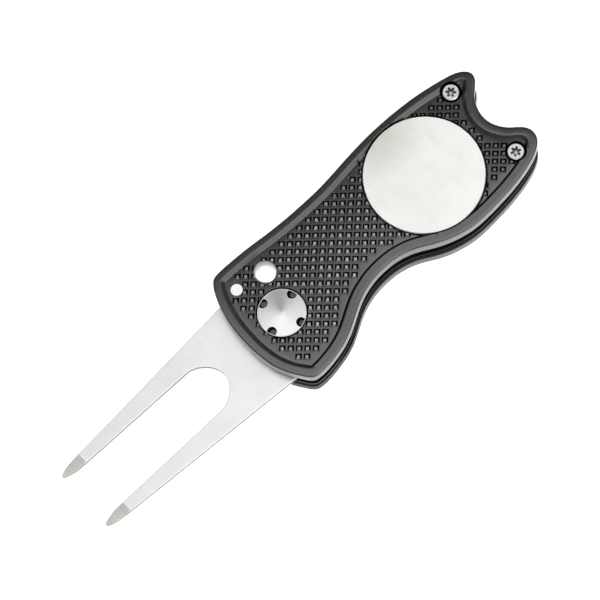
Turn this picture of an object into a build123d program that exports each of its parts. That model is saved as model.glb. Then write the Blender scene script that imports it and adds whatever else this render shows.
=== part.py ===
from build123d import *
import math
import os

# Folding divot repair tool, shown open.
# Frame: origin on the pivot axis at mid thickness, +X towards the horned
# tail of the handle, +Y towards the button side, +Z out of the front face.
# All sizes in millimetres, angles in degrees.

# ---------------------------------------------------------------- layers (z)
FORK_T = 1.3
HALF_FORK = FORK_T / 2
HALF_SLOT = 1.2  # half the slot between the two liners
LINER_T = 1.2
SCALE_T = 3.3  # liner face to rim top
RECESS = 0.8  # field below the rim
Z_LINER = HALF_SLOT + LINER_T  # scale seat
Z_RIM = Z_LINER + SCALE_T
Z_FIELD = Z_RIM - RECESS

# Cutters run past the faces they open; joined solids overlap by LAP.
Z_BELOW = Z_LINER - 1
Z_ABOVE = Z_RIM + 1
LINER_CUT_TOP = 9
LAP = 0.1
FIT = 0.01  # clearance of close fits

# ---------------------------------------------------------------- handle plan
RIM_W = 2.45
LINER_INSET = 0.3  # liners sit this far inside the scales' edge
EDGE_R = 0.55  # rounding of the scales' outer edge

# Handle outline (x, y), clockwise from the +Y corner at the pivot end.
OUTLINE = [
    (-5.93, 14.14), (-5.28, 14.76), (-4.3, 15.03), (-2.5, 15.11), (-0, 15.05),
    (3, 14.91), (6, 14.64), (9, 14.34), (12, 14.13), (15, 14),
    (18, 13.97), (21, 13.98), (24, 14.12), (27.01, 14.4), (30.02, 14.75),
    (33.01, 15.05), (36.5, 15.31), (40, 15.42), (43.5, 15.38), (47, 15.18),
    (50.5, 14.82), (54.01, 14.24), (57, 13.62), (59.3, 13), (60.9, 12.2),
    (61.88, 11.19), (62.21, 10.19), (61.77, 8.88), (60.54, 7.66), (59.14, 6.29),
    (58.16, 4.77), (57.53, 3.21), (57.3, 1.4), (57.54, -0.19), (58.33, -1.88),
    (59.4, -3.3), (60.8, -4.5), (61.97, -5.76), (62.47, -7.2), (62.14, -8.81),
    (60.95, -10.11), (58.89, -11.22), (56.57, -12), (53.95, -12.61), (50.33, -13.15),
    (46.32, -13.48), (42.8, -13.62), (39.96, -13.49), (37.43, -12.99), (34.9, -12.22),
    (32.78, -11.33), (31.07, -10.44), (29.38, -9.48), (27.55, -8.6), (25.62, -7.97),
    (23.66, -7.58), (21.69, -7.45), (19.72, -7.48), (17.75, -7.72), (15.83, -8.17),
    (14.01, -8.77), (12.28, -9.58), (10.54, -10.54), (8.83, -11.52), (7.02, -12.45),
    (5.09, -13.23), (3.07, -13.82), (1.04, -14.22), (-0.98, -14.48), (-3.02, -14.53),
    (-4.23, -14.29), (-5.16, -13.55), (-6.09, -12.24), (-7.13, -10.6), (-8.08, -8.68),
    (-8.79, -6.65), (-9.25, -4.23), (-9.5, -2.01), (-9.55, 0.3), (-9.45, 2.81),
    (-9.2, 5.28), (-8.84, 7.15), (-8.24, 9.36), (-7.45, 11.49), (-6.6, 13.22),
]

# ---------------------------------------------------------------- pivot
PIVOT = (0, 0)
SLEEVE_R = 3.0
RUN_CLEAR = 0.05  # running clearance of the fork on the sleeve
WASHER_R = 4.5
WASHER_CLEAR = 0.04
SCREW_R = 1.5
HEAD_R = 4.0
HEAD_SEAT = 4.15
HEAD_TOP = 5.4
NUT_R = 5.0
NUT_BOSS_R = 2.5
NUT_SEAT = 4.0
NUT_TOP = 5.2
NOTCH_R = 1.0
NOTCH_AT = 4.35  # radius of the notch centres
NOTCH_PHASE = 20.0
SEAT_CLEAR = 0.2  # round the screw head, the nut and the button flange

# ---------------------------------------------------------------- latch and stop
STOP_PIN = (-3.34, 9.85)
STOP_PIN_R = 1.22
BUTTON = (3.26, 8.44)
BUTTON_R = 2.38
BUTTON_TOP = 6.25
FLANGE_R = 3.1
FLANGE_Z0, FLANGE_Z1 = 3.15, 3.9
PLUNGER_R = 1.35

# ---------------------------------------------------------------- marker
MARKER = (40.28, 1.27)
MARKER_R = 12.5
MARKER_Z0, MARKER_Z1 = 3.75, 5.2
POCKET_R = 12.75
POCKET_FLOOR = 3.7
MAGNET_R = 5.0

# ---------------------------------------------------------------- tail and spine
TAIL = [(56.32, 10.38), (56.95, -8.03)]
TAIL_HEAD_R = 1.75
TAIL_BORE_R = 2.2
TAIL_HOLE_R = 1.1
TAIL_SEAT = 3.85
TAIL_TOP = 5.05
PEGS = [((12.5, 12.85), 0.6), ((45.0, 13.6), 0.8)]  # spine pegs: place, radius


# ---------------------------------------------------------------- plan helpers
def polar(radius, degrees, centre=PIVOT):
    angle = math.radians(degrees)
    return (centre[0] + radius * math.cos(angle), centre[1] + radius * math.sin(angle))


def blend(p, q, knot_p, knot_q, t):
    """The point at t on the line that passes p and q at their knots."""
    return tuple(
        ((knot_q - t) * a + (t - knot_p) * b) / (knot_q - knot_p) for a, b in zip(p, q)
    )


def smooth(points, steps=5):
    """Closed centripetal Catmull-Rom curve through the points, as a dense polyline."""
    dense = []
    count = len(points)
    for i in range(count):
        p0, p1, p2, p3 = (points[(i + k - 1) % count] for k in range(4))
        k0 = 0.0
        k1 = k0 + math.dist(p0, p1) ** 0.5
        k2 = k1 + math.dist(p1, p2) ** 0.5
        k3 = k2 + math.dist(p2, p3) ** 0.5
        for step in range(steps):
            t = k1 + (k2 - k1) * step / steps
            first = blend(p0, p1, k0, k1, t)
            middle = blend(p1, p2, k1, k2, t)
            last = blend(p2, p3, k2, k3, t)
            before = blend(first, middle, k0, k2, t)
            after = blend(middle, last, k1, k3, t)
            dense.append(blend(before, after, k1, k2, t))
    return dense


def segment_distance(p, a, b):
    dx, dy = b[0] - a[0], b[1] - a[1]
    length_sq = dx * dx + dy * dy
    along = 0
    if length_sq:
        along = max(0, min(1, ((p[0] - a[0]) * dx + (p[1] - a[1]) * dy) / length_sq))
    return math.hypot(p[0] - a[0] - along * dx, p[1] - a[1] - along * dy)


def inset(poly, distance, spacing=0.8, tolerance=0.004):
    """The closed clockwise polyline moved inwards, with its loops removed."""
    count = len(poly)
    kept = []
    for i in range(count):
        before, after = poly[i - 1], poly[(i + 1) % count]
        tx, ty = after[0] - before[0], after[1] - before[1]
        length = math.hypot(tx, ty)
        p = (poly[i][0] + ty / length * distance, poly[i][1] - tx / length * distance)
        nearest = min(segment_distance(p, poly[j - 1], poly[j]) for j in range(count))
        if nearest > distance - tolerance and (not kept or math.dist(kept[-1], p) > spacing):
            kept.append(p)
    while math.dist(kept[0], kept[-1]) < spacing * 0.6:
        kept.pop()
    return kept


DENSE = smooth(OUTLINE)


# ---------------------------------------------------------------- solid helpers
def polygon(points):
    return make_face(Polyline(*points, close=True).edges())


def prism(points, z0, z1):
    return Pos(0, 0, z0) * extrude(polygon(points), z1 - z0)


def turned(profile):
    """Solid of revolution about Z from (radius, z) points."""
    return revolve(Plane.XZ * polygon(profile), Axis.Z)


def cyl(at, r, z0, z1):
    return Pos(*at, z0) * Cylinder(r, z1 - z0, align=(Align.CENTER, Align.CENTER, Align.MIN))


def ring(at, r0, r1, z0, z1):
    return cyl(at, r1, z0, z1) - cyl(at, r0, z0 - 0.01, z1 + 0.01)


def flip(shape):
    """The same shape on the rear side: mirrored in the mid plane."""
    return mirror(shape, about=Plane.XY)


def sweep_wire(path, radius):
    return sweep(Plane(path @ 0, z_dir=path % 0) * Circle(radius), path=path)


def group(shapes):
    return Compound(children=[Part(shape.wrapped) for shape in shapes])


# ---------------------------------------------------------------- torsion spring layout
SPRING_R = 5.2  # mean radius
SPRING_WIRE = 0.4  # wire radius
DRIVE_ANGLE = -92.0  # fork's drive pin, fork open
DRIVE_AT = polar(SPRING_R, DRIVE_ANGLE)
DRIVE_PIN_R = 0.44
FOLD = 184.0  # fork travel
TURNS = 1.2
LEG_ANGLE = DRIVE_ANGLE + 352.6 - 360 * TURNS  # where the leg leaves the coil
PITCH = 0.86
COIL_TOP = -2.84
COIL_LOW = COIL_TOP - PITCH * TURNS
LEG = 4.4
ANCHOR_R = 0.5
CAVITY_R0, CAVITY_R1 = 4.62, 5.88  # ring channel for the coil
POCKET_DEEP = 4.35  # floor of the rear scale's inner pockets

leg_start = Vector(*polar(SPRING_R, LEG_ANGLE), COIL_LOW)
out_dir = Vector(*polar(1, LEG_ANGLE), 0)
leg_dir = Vector(out_dir.Y, -out_dir.X, 0)  # against the winding
leg_end = leg_start + leg_dir * LEG
anchor = leg_end - leg_dir * 0.7 + out_dir * (SPRING_WIRE + ANCHOR_R + 0.02)


# ---------------------------------------------------------------- scales
def blank_scale():
    """Scale from the liner seat to the rim top, its outer edge rounded."""
    face = make_face(Spline(*OUTLINE, periodic=True).edges())
    body = Pos(0, 0, Z_LINER) * extrude(face, Z_RIM - Z_LINER)
    top = body.edges().group_by(Axis.Z)[-1]
    # The fillet may fail on the tight corners; the edge then stays sharp.
    try:
        rounded = fillet(top, EDGE_R)
        if rounded.solids()[0].is_valid and rounded.volume > 0.9 * body.volume:
            body = rounded
    except Exception:
        pass
    return body - prism(inset(DENSE, RIM_W), Z_FIELD, Z_ABOVE)


def cut_pin_holes(scale):
    """Stop pin hole and stepped tail screw holes, the same in both scales."""
    scale -= cyl(STOP_PIN, STOP_PIN_R + FIT, Z_BELOW, Z_ABOVE)
    for at in TAIL:
        scale -= cyl(at, TAIL_BORE_R, TAIL_SEAT, Z_ABOVE)
        scale -= cyl(at, TAIL_HOLE_R, Z_BELOW, TAIL_SEAT + LAP)
    return scale


def front_scale():
    """Marker pocket, magnet hole, nut seat and button hole."""
    scale = blank_scale()
    scale -= cyl(MARKER, POCKET_R, POCKET_FLOOR, Z_ABOVE)
    scale -= cyl(MARKER, MAGNET_R + 0.1, Z_BELOW, POCKET_FLOOR + LAP)
    scale -= cyl(PIVOT, NUT_R + SEAT_CLEAR, NUT_SEAT, Z_ABOVE)
    scale -= cyl(PIVOT, NUT_BOSS_R + 0.1, Z_BELOW, NUT_SEAT + LAP)
    scale -= cyl(BUTTON, BUTTON_R + 0.12, Z_BELOW, Z_ABOVE)
    scale -= cyl(BUTTON, FLANGE_R + SEAT_CLEAR, Z_BELOW, FLANGE_Z1 + 0.05)
    return cut_pin_holes(scale)


def rear_scale():
    """Screw seat, torsion spring channel, button spring pocket and leg pocket."""
    scale = blank_scale()
    scale -= cyl(PIVOT, HEAD_R + SEAT_CLEAR, HEAD_SEAT, Z_ABOVE)
    scale -= cyl(PIVOT, SCREW_R + 0.1, Z_BELOW, HEAD_SEAT + LAP)
    scale -= ring(PIVOT, CAVITY_R0, CAVITY_R1, Z_BELOW, POCKET_DEEP)
    scale -= cyl(BUTTON, 1.75, Z_BELOW, POCKET_DEEP)
    scale = flip(cut_pin_holes(scale))
    # pocket for the spring leg and its anchor pin
    centre = leg_start + leg_dir * (LEG / 2 + 0.1) + out_dir * 0.45
    floor = Plane(
        origin=(centre.X, centre.Y, -POCKET_DEEP), x_dir=tuple(leg_dir), z_dir=(0, 0, 1)
    )
    return scale - floor * Box(
        LEG + 1.0,
        2.3,
        POCKET_DEEP - Z_LINER + LAP,
        align=(Align.CENTER, Align.CENTER, Align.MIN),
    )


# ---------------------------------------------------------------- torsion spring
def torsion_spring(steps=40):
    """One wire: the tangent leg, then the rising coil."""
    wire = [tuple(leg_start + leg_dir * d) for d in (LEG, 3.0, 1.5)]
    for k in range(steps + 1):
        u = k / steps
        rise = PITCH * TURNS * (u * u * (3 - 2 * u) * 0.15 + u * 0.85)
        wire.append((*polar(SPRING_R, LEG_ANGLE + 360 * TURNS * u), COIL_LOW + rise))
    end_x, end_y = polar(1, LEG_ANGLE + 360 * TURNS)
    return sweep_wire(Spline(*wire, tangents=[tuple(-leg_dir), (-end_y, end_x, 0)]), SPRING_WIRE)


def spring_anchor_pin():
    return cyl((anchor.X, anchor.Y), ANCHOR_R, -POCKET_DEEP + 0.02, -Z_LINER)


# ---------------------------------------------------------------- liners
def blank_liner():
    """Front side liner with the holes that both liners share."""
    liner = prism(inset(DENSE, LINER_INSET), HALF_SLOT, Z_LINER)
    liner -= cyl(PIVOT, SLEEVE_R + FIT, 0, LINER_CUT_TOP)
    liner -= cyl(STOP_PIN, STOP_PIN_R + FIT, 0, LINER_CUT_TOP)
    for at, radius in PEGS:
        liner -= cyl(at, radius + 0.02, 0, LINER_CUT_TOP)
    for at in TAIL:
        liner -= cyl(at, TAIL_HOLE_R, 0, LINER_CUT_TOP)
    return liner


def front_liner():
    return blank_liner() - cyl(BUTTON, FLANGE_R + SEAT_CLEAR, 0, LINER_CUT_TOP)


def rear_liner():
    """Liner with a round-ended arc slot for the fork's drive pin."""
    half_width = 0.6
    sector_r = 9
    start, end = DRIVE_ANGLE - 1, DRIVE_ANGLE + FOLD + 1
    sector = [PIVOT] + [polar(sector_r, start + (end - start) * k / 12) for k in range(13)]
    slot = ring(PIVOT, SPRING_R - half_width, SPRING_R + half_width, 0, LINER_CUT_TOP)
    slot = slot & prism(sector, 0, LINER_CUT_TOP)
    for angle in (start, end):
        slot += cyl(polar(SPRING_R, angle), half_width, 0, LINER_CUT_TOP)
    return flip(blank_liner() - slot - cyl(BUTTON, 1.7, 0, LINER_CUT_TOP))


# ---------------------------------------------------------------- pivot group
def pivot_sleeve():
    return ring(PIVOT, SCREW_R + 0.1, SLEEVE_R, -Z_LINER, Z_LINER)


def pivot_nut():
    """Shallow cone top, bossed underside, four spanner notches through the flange."""
    nut = turned([
        (0, NUT_SEAT), (NUT_R - 0.05, NUT_SEAT), (NUT_R, NUT_SEAT + 0.05),
        (NUT_R, NUT_TOP - 0.42), (NUT_R - 0.12, NUT_TOP - 0.27), (0, NUT_TOP),
    ])
    nut += cyl(PIVOT, NUT_BOSS_R, Z_LINER + 0.05, NUT_SEAT + LAP)
    nut -= cyl(PIVOT, SCREW_R + 0.05, Z_LINER, 4.3)
    for k in range(4):
        at = polar(NOTCH_AT, NOTCH_PHASE + 90 * k)
        nut -= cyl(at, NOTCH_R, NUT_SEAT - 0.5, NUT_TOP + 1)
    return nut


def pivot_screw():
    """Rear head with a hexagon socket, shank forward into the nut."""
    head = turned([
        (0, HEAD_SEAT), (HEAD_R, HEAD_SEAT), (HEAD_R, HEAD_TOP - 0.35),
        (HEAD_R - 0.3, HEAD_TOP - 0.1), (0, HEAD_TOP),
    ])
    screw = flip(head) + cyl(PIVOT, SCREW_R, -HEAD_SEAT - LAP, 4.2)
    return screw - Pos(0, 0, -HEAD_TOP - 0.1) * extrude(RegularPolygon(1.45, 6), 0.9)


def front_washer():
    return ring(PIVOT, SLEEVE_R + WASHER_CLEAR, WASHER_R, HALF_FORK + FIT, HALF_SLOT - FIT)


def rear_washer():
    return flip(front_washer())


# ---------------------------------------------------------------- fork
TANG_R = 7.5
SHOULDER_X_STOP = -4.62  # shoulder that meets the stop pin
SHOULDER_X_LATCH = -6.0  # shoulder on the other side
SHOULDER_BEVEL = 0.35
TIP_X = -54.25
TIP_BEVEL_X = -48.7
TIP_HALF_T = 0.36


def outer(x):
    """Outer edge of the +Y tine."""
    return 11.25 + 0.0665 * x


def inner(x):
    """Inner edge of the +Y tine."""
    return 5.05 - 0.010 * x


# The +Y tine (x, y), from the outer edge round the tip to the crotch.
TINE = [
    (TIP_BEVEL_X, outer(TIP_BEVEL_X)),
    (-50.6, outer(-50.6) - 0.03), (-51.9, 7.72), (-52.9, 7.50), (-53.7, 7.20),
    (TIP_X + 0.10, 6.90), (TIP_X, 6.60), (TIP_X + 0.24, 6.30), (-53.4, 6.05),
    (-52.4, 5.82), (-51.0, inner(-51.0) + 0.02), (TIP_BEVEL_X, inner(TIP_BEVEL_X)),
    (-21.4, inner(-21.4)), (-20.5, 5.04), (-19.5, 4.56), (-18.6, 3.94), (-17.85, 3.22),
    (-17.2, 2.36), (-16.75, 1.45), (-16.48, 0.6),
]


def shoulder(x):
    """Bevelled +Y shoulder, from the centre line out."""
    return [
        (x, 0), (x, outer(x) - SHOULDER_BEVEL), (x - SHOULDER_BEVEL, outer(x)),
    ]


def fork():
    upper = shoulder(SHOULDER_X_STOP) + TINE
    lower = [(x, -y) for x, y in reversed(TINE)]
    # the -Y shoulder reaches its outer edge at the edge height of the bevel's start
    lower += [
        (SHOULDER_X_LATCH - SHOULDER_BEVEL, -outer(SHOULDER_X_LATCH)),
        (SHOULDER_X_LATCH, -outer(SHOULDER_X_LATCH) + SHOULDER_BEVEL),
        (SHOULDER_X_LATCH, 0),
    ]
    tang = cyl(PIVOT, TANG_R, -HALF_FORK, HALF_FORK)
    body = prism(upper + [(-16.4, 0)] + lower, -HALF_FORK, HALF_FORK) + tang
    # ground flats on both faces of the tines' last few millimetres
    for side in (1, -1):
        wedge = polygon([
            (TIP_BEVEL_X, side * HALF_FORK), (TIP_X - 1, side * (TIP_HALF_T - 0.1)),
            (TIP_X - 1, side * 3), (TIP_BEVEL_X, side * 3),
        ])
        body -= extrude(Plane.XZ * wedge, 12, both=True)
    body -= cyl(PIVOT, SLEEVE_R + RUN_CLEAR, -5, 5)
    return body - cyl(DRIVE_AT, DRIVE_PIN_R + 0.01, -5, 0.3)


def fork_drive_pin():
    return cyl(DRIVE_AT, DRIVE_PIN_R, -3.05, 0.29)


# ---------------------------------------------------------------- latch group
def button():
    """Domed, flanged button with a blind hole underneath."""
    body = Pos(*BUTTON, 0) * turned([
        (0, FLANGE_Z0), (FLANGE_R, FLANGE_Z0), (FLANGE_R, FLANGE_Z1), (BUTTON_R, FLANGE_Z1),
        (BUTTON_R, BUTTON_TOP - 0.75), (BUTTON_R - 0.06, BUTTON_TOP - 0.52),
        (BUTTON_R - 0.25, BUTTON_TOP - 0.33), (BUTTON_R - 0.6, BUTTON_TOP - 0.17),
        (BUTTON_R - 1.2, BUTTON_TOP - 0.05), (0, BUTTON_TOP),
    ])
    return body - cyl(BUTTON, 0.8, 3.0, 4.6)


def lock_plunger():
    plunger = cyl(BUTTON, 1.0, 0.5, FLANGE_Z0)  # neck
    plunger += cyl(BUTTON, 0.79, 3.0, 4.55)  # end inside the button
    plunger += cyl(BUTTON, PLUNGER_R, -0.9, 0.5)  # lock collar at fork level
    plunger += cyl(BUTTON, 0.72, -2.6, -0.8)  # guide spigot inside the spring
    return plunger


def button_spring():
    height = 2.92
    coils = 3.5
    path = Helix(pitch=height / coils, height=height, radius=1.15)
    return Pos(*BUTTON, -4.11) * sweep_wire(path, 0.2)


def stop_pin():
    return cyl(STOP_PIN, STOP_PIN_R, -4.95, 4.98)


# ---------------------------------------------------------------- spine and tail
def spine_spacer():
    """Strip along the +Y edge between the liners, with pegs into both."""
    x0, x1, y_flat = 7.0, 51.0, 12.15
    edge = [p for p in inset(DENSE, 0.5) if x0 < p[0] < x1 and p[1] > 8]
    spine = prism(edge + [(x1, y_flat), (x0, y_flat)], -HALF_SLOT, HALF_SLOT)
    for at, radius in PEGS:
        spine += cyl(at, radius, -Z_LINER + 0.1, Z_LINER - 0.1)
    return spine


def tail_standoffs():
    return group([ring(at, 1.0, 2.0, -HALF_SLOT, HALF_SLOT) for at in TAIL])


def tail_screw(at, phase):
    """Small six-lobe screw: pan head, plain shank."""
    bevel_h = 0.12
    socket_z = TAIL_TOP - 0.75
    screw = cyl(at, TAIL_HEAD_R, TAIL_SEAT, TAIL_TOP - bevel_h)
    screw += Pos(*at, TAIL_TOP - bevel_h) * Cone(
        TAIL_HEAD_R, TAIL_HEAD_R - 0.14, bevel_h, align=(Align.CENTER, Align.CENTER, Align.MIN)
    )
    screw += cyl(at, 0.97, 0.15, TAIL_SEAT + LAP)
    screw -= cyl(at, 0.74, socket_z, TAIL_TOP + 1)
    for k in range(6):
        screw -= cyl(polar(0.86, phase + 60 * k, at), 0.27, socket_z, TAIL_TOP + 1)
    return screw


def tail_screws():
    screws = []
    for i, at in enumerate(TAIL):
        screw = tail_screw(at, phase=12 + 25 * i)
        screws += [screw, flip(screw)]
    return group(screws)


# ---------------------------------------------------------------- ball marker
def ball_marker():
    return Pos(*MARKER, 0) * turned([
        (0, MARKER_Z0), (MARKER_R - 0.25, MARKER_Z0), (MARKER_R, MARKER_Z0 + 0.25),
        (MARKER_R, MARKER_Z1 - 0.15), (MARKER_R - 0.15, MARKER_Z1), (0, MARKER_Z1),
    ])


def marker_magnet():
    return cyl(MARKER, MAGNET_R, Z_LINER + 0.02, POCKET_FLOOR - 0.02)


# ---------------------------------------------------------------- export
# Each function here is named after the piece it builds.
os.makedirs("parts", exist_ok=True)
for build in (
    front_scale, rear_scale, torsion_spring, spring_anchor_pin, front_liner, rear_liner,
    pivot_sleeve, pivot_nut, pivot_screw, front_washer, rear_washer, fork, fork_drive_pin,
    button, lock_plunger, button_spring, stop_pin, spine_spacer, tail_standoffs,
    tail_screws, ball_marker, marker_magnet,
):
    piece = build()
    piece.label = build.__name__
    export_step(piece, f"parts/{piece.label}.step")
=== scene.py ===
"""Folding fork with a ball marker in its handle, built over its CAD pieces.

It lies flat in XY with the pivot at the origin: the fork's tines point to -X, the handle
runs to +X, and the front face looks up to +Z. Lengths are in mm until a mesh is made.
"""

import math
from collections import Counter
from dataclasses import dataclass

import bmesh
import bpy
import numpy as np
from mathutils import Matrix, Vector
from mathutils.geometry import delaunay_2d_cdt

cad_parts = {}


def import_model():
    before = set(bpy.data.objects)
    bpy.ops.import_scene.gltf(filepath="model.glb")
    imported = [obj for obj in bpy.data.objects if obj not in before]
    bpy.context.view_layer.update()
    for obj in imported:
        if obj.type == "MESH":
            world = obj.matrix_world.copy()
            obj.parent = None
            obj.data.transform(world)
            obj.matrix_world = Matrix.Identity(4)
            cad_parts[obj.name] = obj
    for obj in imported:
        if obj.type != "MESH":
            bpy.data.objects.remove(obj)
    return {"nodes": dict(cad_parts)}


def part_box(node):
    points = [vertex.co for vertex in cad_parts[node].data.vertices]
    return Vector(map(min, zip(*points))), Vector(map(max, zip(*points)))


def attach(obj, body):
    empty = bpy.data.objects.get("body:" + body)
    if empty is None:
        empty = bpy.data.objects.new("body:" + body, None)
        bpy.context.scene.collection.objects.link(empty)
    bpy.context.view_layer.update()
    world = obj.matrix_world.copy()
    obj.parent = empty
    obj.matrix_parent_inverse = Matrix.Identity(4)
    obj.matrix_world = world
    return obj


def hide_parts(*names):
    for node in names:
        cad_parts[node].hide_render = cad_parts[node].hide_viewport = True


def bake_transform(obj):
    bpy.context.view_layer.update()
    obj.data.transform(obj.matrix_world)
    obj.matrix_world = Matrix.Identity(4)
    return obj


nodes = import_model()["nodes"]
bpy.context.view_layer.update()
MM = 0.001          # metres in a millimetre

# ------------------------------------------------------------------ shared sizes
Z_LINER = 2.4       # inner face of a grip scale, from the middle plane
Z_RIM = 5.7         # top of the scale's border
Z_FIELD = 4.9       # sunken field inside the border


def round_place(name, clearance):
    """Centre x, y and radius of a round node in plan, widened by a clearance."""
    low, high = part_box(name)
    radius = (high.x - low.x) / 2 / MM + clearance
    return ((low.x + high.x) / 2 / MM, (low.y + high.y) / 2 / MM, radius)


# x, y, radius
POCKET = round_place("ball_marker", 0.25)
NUT = round_place("pivot_nut", 0.2)
BUTTON = round_place("button", 0.0)[:2] + (2.5,)
PIN = round_place("stop_pin", 0.01)
TAIL = [(56.32, 10.38, 2.2), (56.95, -8.03, 2.2)]

# patches of the nut's seat, seen through its four notches, that are left out of the painted shade
PATCH_RADIUS = 0.62
PATCH_CIRCLE = 4.35
PATCH_SHIFT = (0.136, -0.11)
UNSHADED_PATCHES = [
    (
        PATCH_CIRCLE * math.cos(math.radians(turn)) + PATCH_SHIFT[0],
        PATCH_CIRCLE * math.sin(math.radians(turn)) + PATCH_SHIFT[1],
    )
    for turn in (20, 110, 200, 290)
]

# outline of the handle: x, y, clockwise
HANDLE = [
    (-5.93, 14.14), (-5.28, 14.76), (-4.3, 15.03), (-2.5, 15.11), (-0, 15.05),
    (3, 14.91), (6, 14.64), (9, 14.34), (12, 14.13), (15, 14),
    (18, 13.97), (21, 13.98), (24, 14.12), (27.01, 14.4), (30.02, 14.75),
    (33.01, 15.05), (36.5, 15.31), (40, 15.42), (43.5, 15.38), (47, 15.18),
    (50.5, 14.82), (54.01, 14.24), (57, 13.62), (59.3, 13), (60.9, 12.2),
    (61.88, 11.19), (62.21, 10.19), (61.77, 8.88), (60.54, 7.66), (59.14, 6.29),
    (58.16, 4.77), (57.53, 3.21), (57.3, 1.4), (57.54, -0.19), (58.33, -1.88),
    (59.4, -3.3), (60.8, -4.5), (61.97, -5.76), (62.47, -7.2), (62.14, -8.81),
    (60.95, -10.11), (58.89, -11.22), (56.57, -12), (53.95, -12.61), (50.33, -13.15),
    (46.32, -13.48), (42.8, -13.62), (39.96, -13.49), (37.43, -12.99), (34.9, -12.22),
    (32.78, -11.33), (31.07, -10.44), (29.38, -9.48), (27.55, -8.6), (25.62, -7.97),
    (23.66, -7.58), (21.69, -7.45), (19.72, -7.48), (17.75, -7.72), (15.83, -8.17),
    (14.01, -8.77), (12.28, -9.58), (10.54, -10.54), (8.83, -11.52), (7.02, -12.45),
    (5.09, -13.23), (3.07, -13.82), (1.04, -14.22), (-0.98, -14.48), (-3.02, -14.53),
    (-4.23, -14.29), (-5.16, -13.55), (-6.09, -12.24), (-7.13, -10.6), (-8.08, -8.68),
    (-8.79, -6.65), (-9.25, -4.23), (-9.5, -2.01), (-9.55, 0.3), (-9.45, 2.81),
    (-9.2, 5.28), (-8.84, 7.15), (-8.24, 9.36), (-7.45, 11.49), (-6.6, 13.22),
]


# ------------------------------------------------------------------ plan work
def smooth(points, steps):
    """Closed centripetal curve through the points, as a dense polyline."""
    curve = []
    for i in range(len(points)):
        near = [points[(i + k - 1) % len(points)] for k in range(4)]
        knots = [0.0]
        for start, end in zip(near, near[1:]):
            knots.append(knots[-1] + math.dist(start, end) ** 0.5)
        for step in range(steps):
            at = knots[1] + (knots[2] - knots[1]) * step / steps
            # blend neighbours over these knot spans until one point is left
            level = near
            for spans in (((0, 1), (1, 2), (2, 3)), ((0, 2), (1, 3)), ((1, 2),)):
                ends = [(knots[a], knots[b]) for a, b in spans]
                level = [
                    tuple(((t1 - at) * p + (at - t0) * q) / (t1 - t0) for p, q in zip(*pair))
                    for (t0, t1), pair in zip(ends, zip(level, level[1:]))
                ]
            curve.append(level[0])
    return curve


def resample(points, spacing):
    """The closed polyline at even spacing."""
    points = np.array(points, float)
    closed = np.vstack([points, points[:1]])
    run = np.concatenate([[0], np.cumsum(np.hypot(*np.diff(closed, axis=0).T))])
    count = max(8, int(round(run[-1] / spacing)))
    at = np.arange(count) * run[-1] / count
    return np.column_stack([np.interp(at, run, closed[:, 0]), np.interp(at, run, closed[:, 1])])


class Outline:
    """A closed clockwise outline with its inward normals and distance look-ups."""

    def __init__(self, points):
        self.points = np.array(points, float)
        along = np.roll(self.points, -1, 0) - np.roll(self.points, 1, 0)
        along /= np.hypot(along[:, 0], along[:, 1])[:, None]
        self.normals = np.column_stack([along[:, 1], -along[:, 0]])
        self.steps = np.roll(self.points, -1, 0) - self.points
        self.steps_squared = (self.steps ** 2).sum(1)

    def nearest(self, points, batch=2000):
        """Distance of each point from the outline, and the index of its nearest step."""
        points = np.array(points, float)
        distance = np.empty(len(points))
        index = np.empty(len(points), int)
        for first in range(0, len(points), batch):
            part = slice(first, first + batch)
            away = points[part, None, :] - self.points[None]
            share = np.clip((away * self.steps).sum(2) / self.steps_squared, 0, 1)
            reach = np.hypot(*(np.moveaxis(away - share[..., None] * self.steps, 2, 0)))
            k = reach.argmin(1)
            index[part] = k
            distance[part] = reach[np.arange(len(k)), k]
        return distance, index

    def inset(self, depth, spacing=0.3, slack=0.02):
        """Offset inwards by a depth (one number, or one per point), loops removed."""
        depth = np.broadcast_to(np.asarray(depth, float), (len(self.points),))
        moved = self.points + self.normals * depth[:, None]
        distance, _ = self.nearest(moved)
        kept = []
        for i, point in enumerate(moved):
            if distance[i] < depth[i] - slack:
                continue
            if kept and math.dist(kept[-1], point) < spacing:
                continue
            kept.append(tuple(point))
        while len(kept) > 3 and math.dist(kept[0], kept[-1]) < spacing * 0.6:
            kept.pop()
        return np.array(kept)


def inside(polygon, points):
    """Even-odd test of the points in the closed polygon."""
    hit = np.zeros(len(points), bool)
    x, y = points[:, 0], points[:, 1]
    for (x0, y0), (x1, y1) in zip(polygon, np.roll(polygon, -1, 0)):
        if y0 == y1:
            continue
        crossed = (y0 > y) != (y1 > y)
        hit ^= crossed & (x < (x1 - x0) * (y - y0) / (y1 - y0) + x0)
    return hit


def circle(x, y, radius, count):
    turn = np.arange(count) * 2 * math.pi / count
    return np.column_stack([x + radius * np.cos(turn), y + radius * np.sin(turn)])


def at_height(points, z):
    """Plan points as 3D points at height z (one number, or one per point)."""
    return np.column_stack([points[:, :2], np.broadcast_to(z, len(points))])


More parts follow.
